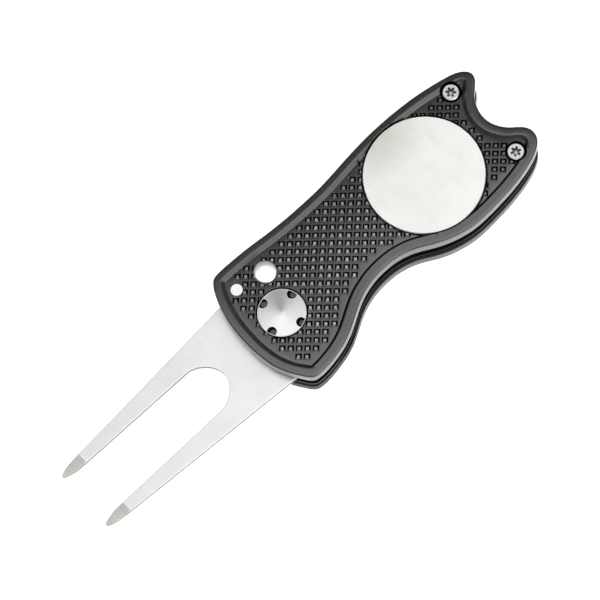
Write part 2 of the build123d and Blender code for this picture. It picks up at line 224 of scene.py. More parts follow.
class Sheet:
    """Plan points, heights and constraint edges, triangulated together."""

    def __init__(self):
        self.points, self.heights, self.edges = [], [], []

    def line(self, points, heights, closed=False):
        first, count = len(self.points), len(points)
        self.points += [tuple(point) for point in points]
        self.heights += list(np.broadcast_to(np.asarray(heights, float), (count,)))
        self.edges += [
            (first + i, first + (i + 1) % count) for i in range(count if closed else count - 1)
        ]

    def loop(self, points, heights):
        self.line(points, heights, closed=True)

    def solve(self, outer, holes, height):
        """Vertices and triangles; height (a number or a function) serves new vertices."""
        solved, _, faces, sources, _, _ = delaunay_2d_cdt(
            [Vector(point) for point in self.points], self.edges, [], 0, 1e-5, True
        )
        plan = np.array([(point[0], point[1]) for point in solved])
        z = np.empty(len(plan))
        new = []
        for i, source in enumerate(sources):
            if source:
                z[i] = self.heights[source[0]]
            else:
                new.append(i)
        if new:
            z[new] = height(plan[new]) if callable(height) else height
        faces = np.array([face for face in faces if len(face) == 3])
        centres = plan[faces].mean(1)
        keep = inside(outer, centres)
        for hole in holes:
            keep &= ~inside(hole, centres)
        return np.column_stack([plan, z]), faces[keep]


def boundary(faces):
    """Edges used by one triangle only."""
    uses = Counter(
        tuple(sorted(edge)) for a, b, c in faces for edge in ((a, b), (b, c), (c, a))
    )
    return [edge for edge, count in uses.items() if count == 1]


class Shell:
    """Collects vertices in mm and faces, and makes a clean closed mesh."""

    def __init__(self):
        self.verts, self.faces = [], []

    def add(self, verts, faces):
        first = len(self.verts)
        self.verts += [tuple(map(float, vert)) for vert in verts]
        self.faces += [tuple(int(i) + first for i in face) for face in faces]

    def strip(self, *rings):
        """Quads between successive closed rings of the same length."""
        for low, high in zip(rings, rings[1:]):
            n = len(low)
            quads = [(i, (i + 1) % n, n + (i + 1) % n, n + i) for i in range(n)]
            self.add(np.vstack([low, high]), quads)

    def level_face(self, z, loops, outer, holes):
        """A level face over all the loops, from the outer one to the holes."""
        sheet = Sheet()
        for loop in loops:
            sheet.loop(loop, z)
        self.add(*sheet.solve(outer, holes, z))

    def make(self, name, sharp, body=None, side=1, weld=2e-7):
        """The object: sharp is an angle in degrees, side -1 mirrors z, weld is in metres."""
        bm = bmesh.new()
        verts = [bm.verts.new((x * MM, y * MM, side * z * MM)) for x, y, z in self.verts]
        for face in self.faces:
            if len(set(face)) == len(face):
                # a face may already exist on the same vertices
                try:
                    bm.faces.new([verts[i] for i in face])
                except ValueError:
                    pass
        bmesh.ops.remove_doubles(bm, verts=bm.verts, dist=weld)
        bmesh.ops.dissolve_degenerate(bm, edges=bm.edges, dist=weld)
        loose = [vert for vert in bm.verts if not vert.link_faces]
        bmesh.ops.delete(bm, geom=loose, context="VERTS")
        bmesh.ops.recalc_face_normals(bm, faces=bm.faces)
        mesh = bpy.data.meshes.new(name)
        bm.to_mesh(mesh)
        bm.free()
        mesh.polygons.foreach_set("use_smooth", [True] * len(mesh.polygons))
        mesh.set_sharp_from_angle(angle=math.radians(sharp))
        ob = bpy.data.objects.new(name, mesh)
        bpy.context.scene.collection.objects.link(ob)
        if body:
            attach(ob, body)
        return ob


# ------------------------------------------------------------------ scale surface
OUT = Outline(resample(smooth(HANDLE, steps=8), spacing=0.33))


def around(plus_y, minus_y, minus_x, plus_x):
    """A width along the outline from its value on each side, smoothed."""
    nx, ny = -OUT.normals[:, 0], -OUT.normals[:, 1]
    weights = np.column_stack([
        np.maximum(ny, 0), np.maximum(-ny, 0), np.maximum(-nx, 0), np.maximum(nx, 0),
    ]) ** 4
    weights /= weights.sum(1)[:, None]
    width = weights @ np.array([plus_y, minus_y, minus_x, plus_x])
    for _ in range(12):
        width = (np.roll(width, 1) + 2 * width + np.roll(width, -1)) / 4
    return width


# inward distances where the border ends and where the field starts
BORDER = around(plus_y=1.60, minus_y=1.84, minus_x=1.55, plus_x=1.95)
FIELD = around(plus_y=2.76, minus_y=2.56, minus_x=2.95, plus_x=3.05)
# depth of the groove at the foot of the slope
FOOT = around(plus_y=0.05, minus_y=0.26, minus_x=0.10, plus_x=0.08)
# room between the start of the field and a stud
STUD_MARGIN = around(plus_y=-0.5, minus_y=-0.15, minus_x=-0.5, plus_x=-0.5)
# the rear scale stands a little proud along the -Y side: stations in x, growth
REAR_GROWTH = np.clip(OUT.normals[:, 1], 0, 1) ** 2 * np.interp(
    OUT.points[:, 0], [2, 9, 34, 40], [-0.08, 0.22, 0.28, 0.10]
)

# rounded outer edge, then the crowned border top: inward distance, height
ROUND = [
    (0.0, 5.06), (0.015, 5.18), (0.05, 5.30), (0.12, 5.41), (0.22, 5.50), (0.38, 5.58),
    (0.6, 5.63),
]
CROWN = [(0.9, 5.645), (1.2, 5.655)]
# from border to field: share of the way, share of the drop
SLOPE = [(0.0, 0.0), (0.06, 0.03), (0.14, 0.14), (0.60, 0.94), (0.68, 1.0), (1.0, 1.0)]
# across the foot groove: share of the way, share of its depth
GROOVE = [(0.45, 0.0), (0.66, 1.0), (0.76, 0.9), (0.9, 0.45), (1.4, 0.0)]
GROOVE_RINGS = [0.76, 0.9, 1.18, 1.4]
CHAMFER = 0.12      # at the scale's inner edge

# the moulded grip pattern: a square lattice on the diagonal
LATTICE_ORIGIN = np.array([1.13, 0.23])
LATTICE_A = np.array([1.217, 1.154])
LATTICE_B = np.array([-1.225, 1.152])
UNIT_A = LATTICE_A / np.hypot(*LATTICE_A)
UNIT_B = LATTICE_B / np.hypot(*LATTICE_B)
# half width, height over the field
STUD = [(0.66, 0.0), (0.60, -0.24), (0.48, -0.24), (0.31, 0.30), (0.25, 0.37), (0.13, 0.41)]
STUD_TOP = 0.42
STUD_FOOT = STUD[0][0]


@dataclass
class Hole:
    """A round hole through a scale; with a bore it steps to that radius at seat_z."""
    x: float
    y: float
    radius: float
    segments: int
    stud_gap: float         # room kept free of studs
    lip: float = 0.08       # chamfer at the top
    seat_z: float = None
    bore: float = None
    unshaded_patches: tuple = ()     # centres of patches on the seat kept out of the painted shade

    def ring(self, extra=0.0):
        return circle(self.x, self.y, self.radius + extra, self.segments)

    def distance(self, x, y):
        return np.hypot(x - self.x, y - self.y)


def interpolate(at, table):
    return np.interp(at, [row[0] for row in table], [row[1] for row in table])


def plain_height(points):
    """Height of border, slope and field, without the studs."""
    depth, i = OUT.nearest(points)
    border, field = BORDER[i], FIELD[i]
    z = interpolate(depth, ROUND + CROWN)
    crown_in, crown_z = CROWN[-1]
    rise = np.clip((depth - crown_in) / np.maximum(border - crown_in, 1e-6), 0, 1) ** 1.5
    z = np.where(depth > crown_in, crown_z + (Z_RIM - crown_z) * rise, z)
    across = (depth - border) / (field - border)
    drop = interpolate(np.clip(across, 0, 1), SLOPE)
    z = np.where(depth > border, Z_RIM - (Z_RIM - Z_FIELD) * drop, z)
    return z - FOOT[i] * interpolate(across, GROOVE)


def pillow(points, side):
    """Slight swell of the front face over its flat height; the rear face has none."""
    if side == -1:
        return 0.0
    x, y = points[:, 0], points[:, 1]
    # the waist at x = 21 shifts and narrows the swell across y
    waist = np.exp(-(((x - 21) / 9) ** 2))
    swell = 0.2 - 0.46 * ((y - 0.6 - 2.9 * waist) / (14.6 - 3.9 * waist)) ** 2
    # falls away past the pivot and towards the tail
    swell -= 0.28 * np.minimum(0, x / 9.5) ** 2 + 0.2 * np.maximum(0, (x - 50) / 12) ** 2
    return swell


def stud_corners(centres, half):
    """The four corners of the lattice square round each centre."""
    signs = ((1, 1), (-1, 1), (-1, -1), (1, -1))
    return np.stack([centres + half * (s * UNIT_A + t * UNIT_B) for s, t in signs], -2)


def place_studs(holes):
    """Lattice points whose stud stands on the field; a hole's edge may cut one."""
    points = []
    for i in range(-60, 61):
        for j in range(-60, 61):
            point = LATTICE_ORIGIN + i * LATTICE_A + j * LATTICE_B
            if -10 < point[0] < 63 and -15 < point[1] < 16:
                points.append(point)
    points = np.array(points)
    corners = stud_corners(points, STUD_FOOT).reshape(-1, 2)
    depth, k = OUT.nearest(corners)
    fits = (depth > FIELD[k] + STUD_MARGIN[k]) & inside(OUT.points, corners)
    fits = fits.reshape(-1, 4).all(1)
    for hole in holes:
        fits &= hole.distance(points[:, 0], points[:, 1]) > hole.radius + hole.stud_gap
    return points[fits]


def studded_height(points, studs):
    """Field and border height with the studs on it."""
    z = plain_height(points)
    away = points[:, None, :] - studs[None]
    reach = np.maximum(np.abs(away @ UNIT_A), np.abs(away @ UNIT_B))
    along = (away @ UNIT_A)[np.arange(len(points)), reach.argmin(1)]
    reach = reach.min(1)
    stud = interpolate(reach, [(0.0, STUD_TOP)] + STUD[::-1])
    # the trench round a stud is cut only on its +A side
    stud = Z_FIELD + np.where(stud < 0, stud * np.clip(0.5 + along, 0, 1), stud)
    on_stud = reach < STUD_FOOT
    over_border = np.maximum(z, np.where(on_stud, stud, 0))
    return np.where(on_stud & (z < Z_FIELD + 0.02), stud, over_border)


def outer_face(outer, holes, studs):
    """Vertices and triangles of a scale's border, field, studs and hole lips."""
    sheet = Sheet()
    sheet.loop(outer, ROUND[-1][1])
    for depth, z in CROWN:
        sheet.loop(OUT.inset(depth), z)
    for share in [row[0] for row in SLOPE] + GROOVE_RINGS:
        ring = OUT.inset(BORDER + (FIELD - BORDER) * share, spacing=0.26)
        sheet.loop(ring, plain_height(ring))
    for centre in studs:
        for half, z in STUD:
            corners = stud_corners(centre, half)
            top = Z_FIELD + np.array([z, max(z, 0), max(z, 0), z])
            ground = plain_height(corners)
            over = np.maximum(ground, top)
            sheet.loop(corners, np.where(ground > Z_FIELD + 0.02, over, top))
        sheet.line([centre], Z_FIELD + STUD_TOP)
    for hole in holes:
        sheet.loop(hole.ring(), studded_height(hole.ring(), studs) - hole.lip)
        if hole.lip:
            rim = hole.ring(hole.lip)
            sheet.loop(rim, studded_height(rim, studs))

    def height(points):
        z = studded_height(points, studs)
        for hole in holes:
            off_edge = np.abs(hole.distance(points[:, 0], points[:, 1]) - hole.radius)
            z = np.where(off_edge < 0.01, z - hole.lip, z)
        return z

    return sheet.solve(outer, [hole.ring() for hole in holes], height)


# ------------------------------------------------------------------ grip scales
SPRING_LEG_TURN = math.radians(-171.4)      # where the pivot coil's leg leaves it
POCKET_Z = 4.35                             # floor of the inner pockets
SHADED, RUBBED_HIGHLIT = 1, 2                       # material slots of a scale: painted shade, and stud tops pale from wear and a painted highlight


def spring_pocket():
    """Rim of the channel for the pivot's coil and leg, and its inner ring."""
    coil_radius, isle_radius = 5.88, 4.62
    out = np.array([math.cos(SPRING_LEG_TURN), math.sin(SPRING_LEG_TURN)])
    along = np.array([out[1], -out[0]])
    middle = out * 5.65 + along * 2.3
    half_length, half_width = 2.7, 1.15
    corners = np.array([
        middle + along * (s * half_length) + out * (t * half_width)
        for s, t in ((-1, 1), (1, 1), (1, -1), (-1, -1))
    ])
    turns = np.unique(np.concatenate([
        np.arange(144) * math.pi / 72,
        np.arctan2(corners[:2, 1], corners[:2, 0]) % (2 * math.pi),
    ]))
    rim = []
    for turn in turns:
        ray = np.array([math.cos(turn), math.sin(turn)])
        far = coil_radius
        for start, end in zip(corners, np.roll(corners, -1, 0)):
            edge = end - start
            det = ray[0] * -edge[1] + ray[1] * edge[0]
            if abs(det) < 1e-9:
                continue
            reach = (start[0] * -edge[1] + start[1] * edge[0]) / det
            share = (ray[0] * start[1] - ray[1] * start[0]) / det
            if reach > 0 and -1e-9 <= share <= 1 + 1e-9:
                far = max(far, reach)
        rim.append(ray * far)
    rim = np.array(rim)
    # points on a straight run are dropped
    back, on = rim - np.roll(rim, 1, 0), np.roll(rim, -1, 0) - rim
    bent = np.abs(back[:, 0] * on[:, 1] - back[:, 1] * on[:, 0]) > 2e-4
    return rim[bent], circle(0, 0, isle_radius, 96)


def cut_hole(shell, hole, verts, edges):
    """Walls of a hole below the outer face; returns its loop on the inner face."""
    def on_edge(i):
        off = math.hypot(verts[i][0] - hole.x, verts[i][1] - hole.y) - hole.radius
        return abs(off) < hole.radius * 0.002 + 0.004

    ring = sorted(
        {i for edge in edges if all(map(on_edge, edge)) for i in edge},
        key=lambda i: math.atan2(verts[i][1] - hole.y, verts[i][0] - hole.x),
    )
    top = verts[ring]
    seat_z = Z_LINER if hole.bore is None else hole.seat_z
    shell.strip(top, at_height(top, seat_z))
    edge = top[:, :2]
    if hole.bore is None:
        return edge
    bore = circle(hole.x, hole.y, hole.bore, max(24, hole.segments // 2))
    unshaded_patches = [circle(x, y, PATCH_RADIUS, 20) for x, y in hole.unshaded_patches]
    wide, narrow = (edge, bore) if hole.bore < hole.radius else (bore, edge)
    shell.level_face(seat_z, [edge, bore, *unshaded_patches], wide, [narrow])
    shell.strip(at_height(bore, seat_z), at_height(bore, Z_LINER))
    return bore


def paint_shade_and_highlight(mesh, side, holes, studs):
    """Paints shade into the grooves round studs, the foot groove and the hole walls and steps, and
    paints the stud tops pale, partly as wear and partly as a painted highlight.
    """
    centres = np.array([tuple(face.center) for face in mesh.polygons]) / MM
    unswollen = centres[:, 2] * side - pillow(centres, side)
    unshaded_patches = [patch for hole in holes for patch in hole.unshaded_patches]
    for face, (x, y, z), even in zip(mesh.polygons, centres, unswollen):
        z *= side
        if z < 2.6 or z > 5.6:
            continue
        # the seat under the nut's notches keeps the plain moulding, out of the painted shade
        if z < 4.1 and any(
            math.hypot(x - px, y - py) < PATCH_RADIUS - 0.01 for px, py in unshaded_patches
        ):
            continue
        # painted shade: the walls and steps of every hole take the near-black slot
        if any(hole.distance(x, y) < hole.radius + 0.03 for hole in holes):
            face.material_index = SHADED
            continue
        away = np.array([x, y]) - studs
        along, across = away @ UNIT_A, away @ UNIT_B
        reach = np.maximum(np.abs(along), np.abs(across))
        k = int(reach.argmin())
        a, b = along[k], across[k]
        # stud tops, stretched towards the -A side, take the pale slot: partly wear, partly a
        # painted highlight
        if reach[k] < 0.28 or (-0.45 < a < 0 and abs(b) < 0.28):
            face.material_index = RUBBED_HIGHLIT
        # painted shade: the ring round a stud takes the near-black slot on three sides; its -A
        # side keeps the plain moulding
        elif reach[k] < 0.67 and not (a < -0.3 and abs(a) >= abs(b)):
            face.material_index = SHADED
        # painted shade: the foot groove of the front scale takes the near-black slot
        elif even < Z_FIELD - 0.12 and abs(face.normal.z) > 0.12 and side == 1:
            face.material_index = SHADED


def build_scale(name, cad_name, side, holes, pockets=()):
    """A grip scale; pockets are (rim, inner rings) sunk into its inner face."""
    shell = Shell()
    normals = OUT.normals
    edge = OUT.points - normals * (REAR_GROWTH[:, None] if side == -1 else 0.0)
    inner = edge + normals * CHAMFER
    rings = []
    for depth, z in ROUND:
        ring = edge + normals * depth
        rings.append(at_height(ring, z + pillow(ring, side)))
    shell.strip(at_height(inner, Z_LINER), at_height(edge, Z_LINER + CHAMFER), *rings)

    studs = place_studs(holes)
    verts, faces = outer_face(rings[-1][:, :2], holes, studs)
    verts[:, 2] += pillow(verts, side)
    shell.add(verts, faces)
    edges = boundary(faces)
    loops = [cut_hole(shell, hole, verts, edges) for hole in holes]

    for rim, isles in pockets:
        for ring in (rim, *isles):
            shell.strip(at_height(ring, POCKET_Z), at_height(ring, Z_LINER))
        shell.level_face(POCKET_Z, [rim, *isles], rim, isles)
        for isle in isles:
            bores = [loop for loop in loops if inside(isle, loop).all()]
            loops = [loop for loop in loops if not inside(isle, loop).all()]
            shell.level_face(Z_LINER, [isle, *bores], isle, bores)
    loops += [rim for rim, _ in pockets]
    shell.level_face(Z_LINER, [inner, *loops], inner, loops)

    ob = shell.make(name, sharp=30, body="handle", side=side)
    paint_shade_and_highlight(ob.data, side, holes, studs)
    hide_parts(cad_name)
    return ob


def tail_holes(stud_gap):
    return [
        Hole(*place, segments=48, seat_z=3.85, bore=1.1, stud_gap=stud_gap) for place in TAIL
    ]


front = build_scale("front_grip_scale", "front_scale", 1, [
    Hole(*POCKET, segments=180, lip=0.10, seat_z=3.7, bore=5.1, stud_gap=-0.2),
    Hole(*NUT, segments=96, seat_z=4.0, bore=2.6, stud_gap=-0.2, unshaded_patches=UNSHADED_PATCHES),
    Hole(*BUTTON, segments=64, seat_z=3.95, bore=3.3, stud_gap=-0.15),
    Hole(*PIN, segments=40, lip=0.0, stud_gap=-0.1),
    *tail_holes(stud_gap=0.0),
])
spring_rim, spring_isle = spring_pocket()
rear = build_scale("rear_grip_scale", "rear_scale", -1, [
    Hole(0.0, 0.0, 4.2, segments=96, seat_z=4.15, bore=1.6, stud_gap=0.35),
    Hole(*PIN, segments=40, lip=0.0, stud_gap=0.35),
    *tail_holes(stud_gap=0.40),
], [(spring_rim, [spring_isle]), (circle(*BUTTON[:2], 1.75, 48), [])])

# ------------------------------------------------------------------ fork
FORK_HALF = 0.65        # half the blade's thickness
BEVEL_X = -48.7         # the tips thin out beyond this
TANG_RADIUS = 7.5
TANG_HOLE = 3.05
UPPER_SHOULDER = (-4.62, 5.908)
LOWER_SHOULDER = (-6.0, -4.5)
# +Y tine's tip between its straight edges: x, y
TIP = [
    (-51.9, 7.72), (-52.9, 7.50), (-53.7, 7.20), (-54.15, 6.90), (-54.25, 6.60),
    (-54.01, 6.30), (-53.4, 6.05), (-52.4, 5.82),
]
# +Y half of the round end between the tines: x, y
GULLET = [
    (-20.5, 5.04), (-19.5, 4.56), (-18.6, 3.94), (-17.85, 3.22), (-17.2, 2.36),
    (-16.75, 1.45), (-16.48, 0.6), (-16.4, 0.0),
]
# blade edge: inward distance, drop from the face
BLADE_EDGE = [(0.0, 0.13), (0.02, 0.07), (0.06, 0.025), (0.13, 0.0)]


def tine_out(x):
    """y of the +Y tine's outer edge."""
    return 11.25 + 0.0665 * x


def tine_in(x):
    """y of the +Y tine's inner edge."""
    return 5.05 - 0.010 * x


def mirrored(points):
    return [(x, -y) for x, y in reversed(points)]


def straight(edge, start, end, count, sign=1):
    return [(x, sign * edge(x)) for x in np.linspace(start, end, count)]


def curve_between(points, lead, tail, steps=6):
    """Smooth run through the points, guided by one more point at each end."""
    closing = ((lead[0] + tail[0]) / 2 + 40, 0)
    curve = smooth([lead] + points + [tail, closing], steps)
    return curve[steps:steps * len(points) + 1]


def shoulder_corner(x):
    """Rounded corner of a stop shoulder on the +Y side."""
    y = tine_out(x)
    return [(x, y - 0.35), (x - 0.1, y - 0.1), (x - 0.35, y)]


def fork_outline():
    """Clockwise outline of the blade and its round tang, with close points dropped."""
    tip = curve_between(
        [(-50.6, tine_out(-50.6) - 0.03)] + TIP + [(-51.0, tine_in(-51.0) + 0.02)],
        (-47.0, tine_out(-47.0)), (-47.0, tine_in(-47.0)),
    )
    half = [(-21.4, tine_in(-21.4))] + GULLET
    gullet = curve_between(
        half + mirrored(half[:-1]), (-24.0, tine_in(-24.0)), (-24.0, -tine_in(-24.0))
    )
    # counter-clockwise from the +Y shoulder, out and back along each tine
    run = [UPPER_SHOULDER]
    run += shoulder_corner(UPPER_SHOULDER[0])
    run += straight(tine_out, -6, -49, 44)
    run += tip
    run += straight(tine_in, -49, -22.4, 27)
    run += gullet
    run += straight(tine_in, -22.4, -49, 27, sign=-1)
    run += mirrored(tip)
    run += straight(tine_out, -49, -7.4, 43, sign=-1)
    run += mirrored(shoulder_corner(LOWER_SHOULDER[0]))
    run.append(LOWER_SHOULDER)
    start, end = (math.atan2(y, x) for x, y in (LOWER_SHOULDER, UPPER_SHOULDER))
    for k in range(1, 80):
        turn = start + (end - start) * k / 80
        run.append((TANG_RADIUS * math.cos(turn), TANG_RADIUS * math.sin(turn)))
    kept = [run[0]]
    for point in run[1:]:
        if math.dist(point, kept[-1]) > 0.05:
            kept.append(point)
    return np.array(kept[::-1])


def fork_face_z(x):
    """Half thickness of the blade, thinned towards the tips."""
    thinned = FORK_HALF - (BEVEL_X - x) * (FORK_HALF - 0.26) / 6.0
    return np.where(x < BEVEL_X, thinned, FORK_HALF)


def build_fork():
    shell = Shell()
    outline = Outline(fork_outline())
    hole = circle(0, 0, TANG_HOLE, 72)
    edge_rings = []
    for side in (1, -1):
        rings = []
        for depth, drop in BLADE_EDGE:
            ring = outline.points + outline.normals * depth
            rings.append(at_height(ring, side * (fork_face_z(ring[:, 0]) - drop)))
        shell.strip(*rings)
        edge_rings.append(rings[0])
        sheet = Sheet()
        outer = rings[-1][:, :2]
        sheet.loop(outer, 0.0)
        sheet.loop(hole, 0.0)
        for s in (1, -1):
            y0, y1 = s * (tine_in(BEVEL_X) + 0.17), s * (tine_out(BEVEL_X) - 0.17)
            sheet.line([(BEVEL_X, y0 + (y1 - y0) * k / 6) for k in range(7)], 0.0)
        verts, faces = sheet.solve(outer, [hole], 0.0)
        verts[:, 2] = side * fork_face_z(verts[:, 0])
        shell.add(verts, faces)
    shell.strip(*edge_rings)
    shell.strip(at_height(hole, FORK_HALF), at_height(hole, -FORK_HALF))
    ob = shell.make("fork_blade", sharp=14, body="fork")
    # 1: sheared edge, its darker steel partly painted shade, 2: ground tips
    for face in ob.data.polygons:
        if abs(face.normal.z) < 0.55:
            face.material_index = 1
        elif face.center.x < BEVEL_X * MM:
            face.material_index = 2
    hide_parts("fork")
    return ob


# ------------------------------------------------------------------ collar and springs
# closed section of the nut's collar: radius, z
COLLAR = [(4.82, 4.20), (4.82, 4.965), (4.845, 4.99), (4.955, 4.99), (4.99, 4.95), (4.99, 4.20)]
# half ring at a wire's end: share of the radius, share of the reach
WIRE_END = [(0.5, 0.86), (0.86, 0.5)]


def nut_collar():
    """Thin collar standing round the nut's rim."""
    shell = Shell()
    rings = [at_height(circle(0, 0, radius, 120), z) for radius, z in COLLAR]
    shell.strip(*rings, rings[0])
    ob = shell.make("nut_collar", sharp=25, body="handle")
    return ob


def wire(name, path, radius, segments):
    """A round wire along a path, with rounded ends."""
    path = np.asarray(path, float)
    tangent = np.gradient(path, axis=0)
    tangent /= np.linalg.norm(tangent, axis=1)[:, None]
    side = np.cross([0, 0, 1], tangent)
    side /= np.linalg.norm(side, axis=1)[:, None]
    up = np.cross(tangent, side)
    turn = np.arange(segments) * 2 * math.pi / segments

    def ring(k, size, shift=0.0):
        spokes = np.cos(turn)[:, None] * side[k] + np.sin(turn)[:, None] * up[k]
        return path[k] + tangent[k] * shift + size * spokes

    rings = [ring(0, radius * c, -radius * s * 0.5) for c, s in WIRE_END]
    rings += [ring(k, radius) for k in range(len(path))]
    rings += [ring(-1, radius * c, radius * s * 0.5) for c, s in WIRE_END[::-1]]
    shell = Shell()
    shell.strip(*rings)
    for end in (rings[0], rings[-1]):
        fan = [(0, 1 + k, 1 + (k + 1) % segments) for k in range(segments)]
        shell.add(np.vstack([end.mean(0), end]), fan)
    return shell.make(name, sharp=60)


def button_coil():
    """Compression spring under the plunger."""
    x, y = BUTTON[:2]
    radius, turns, low, height = 1.15, 3.5, -4.11, 2.92
    path = []
    for k in range(141):
        share = k / 140
        turn = 2 * math.pi * turns * share
        path.append((
            x + radius * math.cos(turn), y + radius * math.sin(turn), low + height * share
        ))
    ob = wire("button_coil", path, radius=0.2, segments=10)
    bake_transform(ob)
    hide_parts("button_spring")
    return ob


def torsion_coil():
    """Spring round the pivot: leg on the anchor pin, end on the fork's drive pin."""
    radius, turns, pitch, leg, leg_points = 5.2, 1.2, 0.86, 4.4, 12
    low = -2.84 - pitch * turns
    start = math.radians(-92.0 + 352.6 - 360 * turns)
    foot = np.array([radius * math.cos(start), radius * math.sin(start), low])
    outwards = np.array([math.sin(start), -math.cos(start), 0.0])
    path = [foot + outwards * leg * (1 - k / leg_points) for k in range(leg_points)]
    for k in range(121):
        share = k / 120
        turn = start + math.radians(360 * turns * share)
        rise = pitch * turns * (share * share * (3 - 2 * share) * 0.15 + share * 0.85)
        path.append((radius * math.cos(turn), radius * math.sin(turn), low + rise))
    ob = wire("torsion_coil", path, radius=0.4, segments=12)
    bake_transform(ob)
    # each vertex's nearest point on the path is found, but not used further
    verts = np.array([tuple(vert.co) for vert in ob.data.vertices]) / MM
    k = np.linalg.norm(verts[:, None] - np.array(path)[None], axis=2).argmin(1)
    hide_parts("torsion_spring")
    return ob


fork = build_fork()
collar = nut_collar()
coils = [button_coil(), torsion_coil()]


# ------------------------------------------------------------------ shader helpers
class Nodes:
    """The emptied node tree of a material or world, with short ways to fill it."""

    def __init__(self, owner):
        owner.use_nodes = True
        self.tree = owner.node_tree
        self.tree.nodes.clear()

    def feed(self, socket, value):
        """Links a socket to an input, or sets the input's value."""
        if isinstance(value, bpy.types.NodeSocket):
            self.tree.links.new(value, socket)
        else:
            socket.default_value = value

    def add(self, kind, inputs=None, **settings):
        new = self.tree.nodes.new("ShaderNode" + kind)
        for key, value in settings.items():
            setattr(new, key, value)
        for key, value in (inputs or {}).items():
            self.feed(new.inputs[key], value)
        return new

    def coords(self, kind="Object"):
        return self.add("TexCoord").outputs[kind]

    def axes(self, vector):
        return self.add("SeparateXYZ", {0: vector}).outputs

    def mapping(self, scale, rotation=(0, 0, 0)):
        inputs = {"Scale": scale, "Rotation": rotation, "Vector": self.coords()}
        return self.add("Mapping", inputs).outputs[0]

    def noise(self, vector, scale, detail, rough=0.5):
        inputs = {"Scale": scale, "Detail": detail, "Roughness": rough, "Vector": vector}
        return self.add("TexNoise", inputs).outputs["Fac"]

    def remap(self, value, low=0, high=1, start=0.3, end=0.7, **settings):
        """Takes start..end to low..high."""
        inputs = {
            "Value": value, "From Min": start, "From Max": end, "To Min": low, "To Max": high,
        }
        return self.add("MapRange", inputs, **settings).outputs["Result"]

    def mix(self, factor, first, second):
        """Blend of two colours, each a socket or an RGB tuple."""
        first, second = (c + (1.0,) if isinstance(c, tuple) else c for c in (first, second))
        inputs = {"Factor": factor, 6: first, 7: second}
        return self.add("Mix", inputs, data_type="RGBA").outputs[2]

    def math(self, operation, *values):
        return self.add("Math", dict(enumerate(values)), operation=operation).outputs[0]

    def vector(self, operation, *values, result="Vector"):
        new = self.add("VectorMath", dict(enumerate(values)), operation=operation)
        return new.outputs[result]


class Skin(Nodes):
    """A material round one Principled shader."""

    def __init__(self, name):
        self.material = bpy.data.materials.new(name)
        super().__init__(self.material)
        self.output = self.add("OutputMaterial")
        self.bsdf = self.add("BsdfPrincipled")
        self.feed(self.output.inputs[0], self.bsdf.outputs[0])

    def set(self, name, value):
        self.feed(self.bsdf.inputs[name], value)

    def colour(self):
        return self.bsdf.inputs["Base Color"].links[0].from_socket

    def tones(self, lines, clouds, line_share, base, darker, lighter=0.0):
        """Base colour from grain lines and slow clouds, a little either side of base."""
        dark = tuple(max(0.0, c - darker) for c in base)
        light = tuple(min(1.0, c + lighter) for c in base)
        lines = self.math("MULTIPLY", lines, line_share)
        clouds = self.math("MULTIPLY", clouds, 1 - line_share)
        factor = self.remap(self.math("ADD", lines, clouds), start=0.35, end=0.65)
        return self.mix(factor, dark, light)

    def bump(self, height, strength, distance):
        inputs = {"Strength": strength, "Distance": distance, "Height": height}
        self.set("Normal", self.add("Bump", inputs).outputs[0])


# ------------------------------------------------------------------ finishes
def plastic(name, base=(0.005, 0.005, 0.0052), paler_tone=(0.011, 0.011, 0.0115), rough=0.27, shine=0.5):
    """Moulding with a fine skin texture and a patchy, slightly paler tone."""
    skin = Skin(name)
    place = skin.mapping(scale=(1, 1, 1))
    big = skin.noise(place, scale=90, detail=4)
    fine = skin.noise(place, scale=5200, detail=2)
    middle = skin.noise(place, scale=1300, detail=3)
    skin.set("Base Color", skin.mix(skin.remap(middle), base, paler_tone))
    broad_rough = skin.remap(big, low=rough - 0.03, high=rough + 0.03)
    fine_rough = skin.remap(fine, low=-0.03, high=0.03)
    skin.set("Roughness", skin.math("ADD", broad_rough, fine_rough))
    skin.set("IOR", 1.5)
    skin.set("Specular IOR Level", shine)
    relief = skin.math("ADD", fine, skin.math("MULTIPLY", middle, 0.6))
    skin.bump(relief, strength=0.25, distance=0.00002)
    return skin


def steel(name, base, rough, grain, rotation=(0, 0, 0), depth=0.12, spread=0.06, lean=None):
    """Satin steel with a directional grain and slow clouds; lean remaps x to brightness."""
    skin = Skin(name)
    place = skin.mapping(grain, rotation)
    lines = skin.noise(place, scale=3.0, detail=5, rough=0.65)
    clouds = skin.noise(skin.mapping(scale=(1, 1, 1)), scale=110, detail=3)
    colour = skin.tones(lines, clouds, 0.55, base, darker=spread, lighter=spread * 0.6)
    # painted light: lean scales the colour by a ramp along x
    if lean:
        level = skin.remap(skin.axes(skin.coords())[0], **lean)
        scaled = skin.add("VectorMath", {0: colour, "Scale": level}, operation="SCALE")
        colour = scaled.outputs[0]
    skin.set("Base Color", colour)
    skin.set("Metallic", 1.0)
    skin.set("Roughness", skin.remap(lines, low=rough - 0.06, high=rough + 0.06))
    skin.bump(lines, strength=depth, distance=0.00001)
    return skin


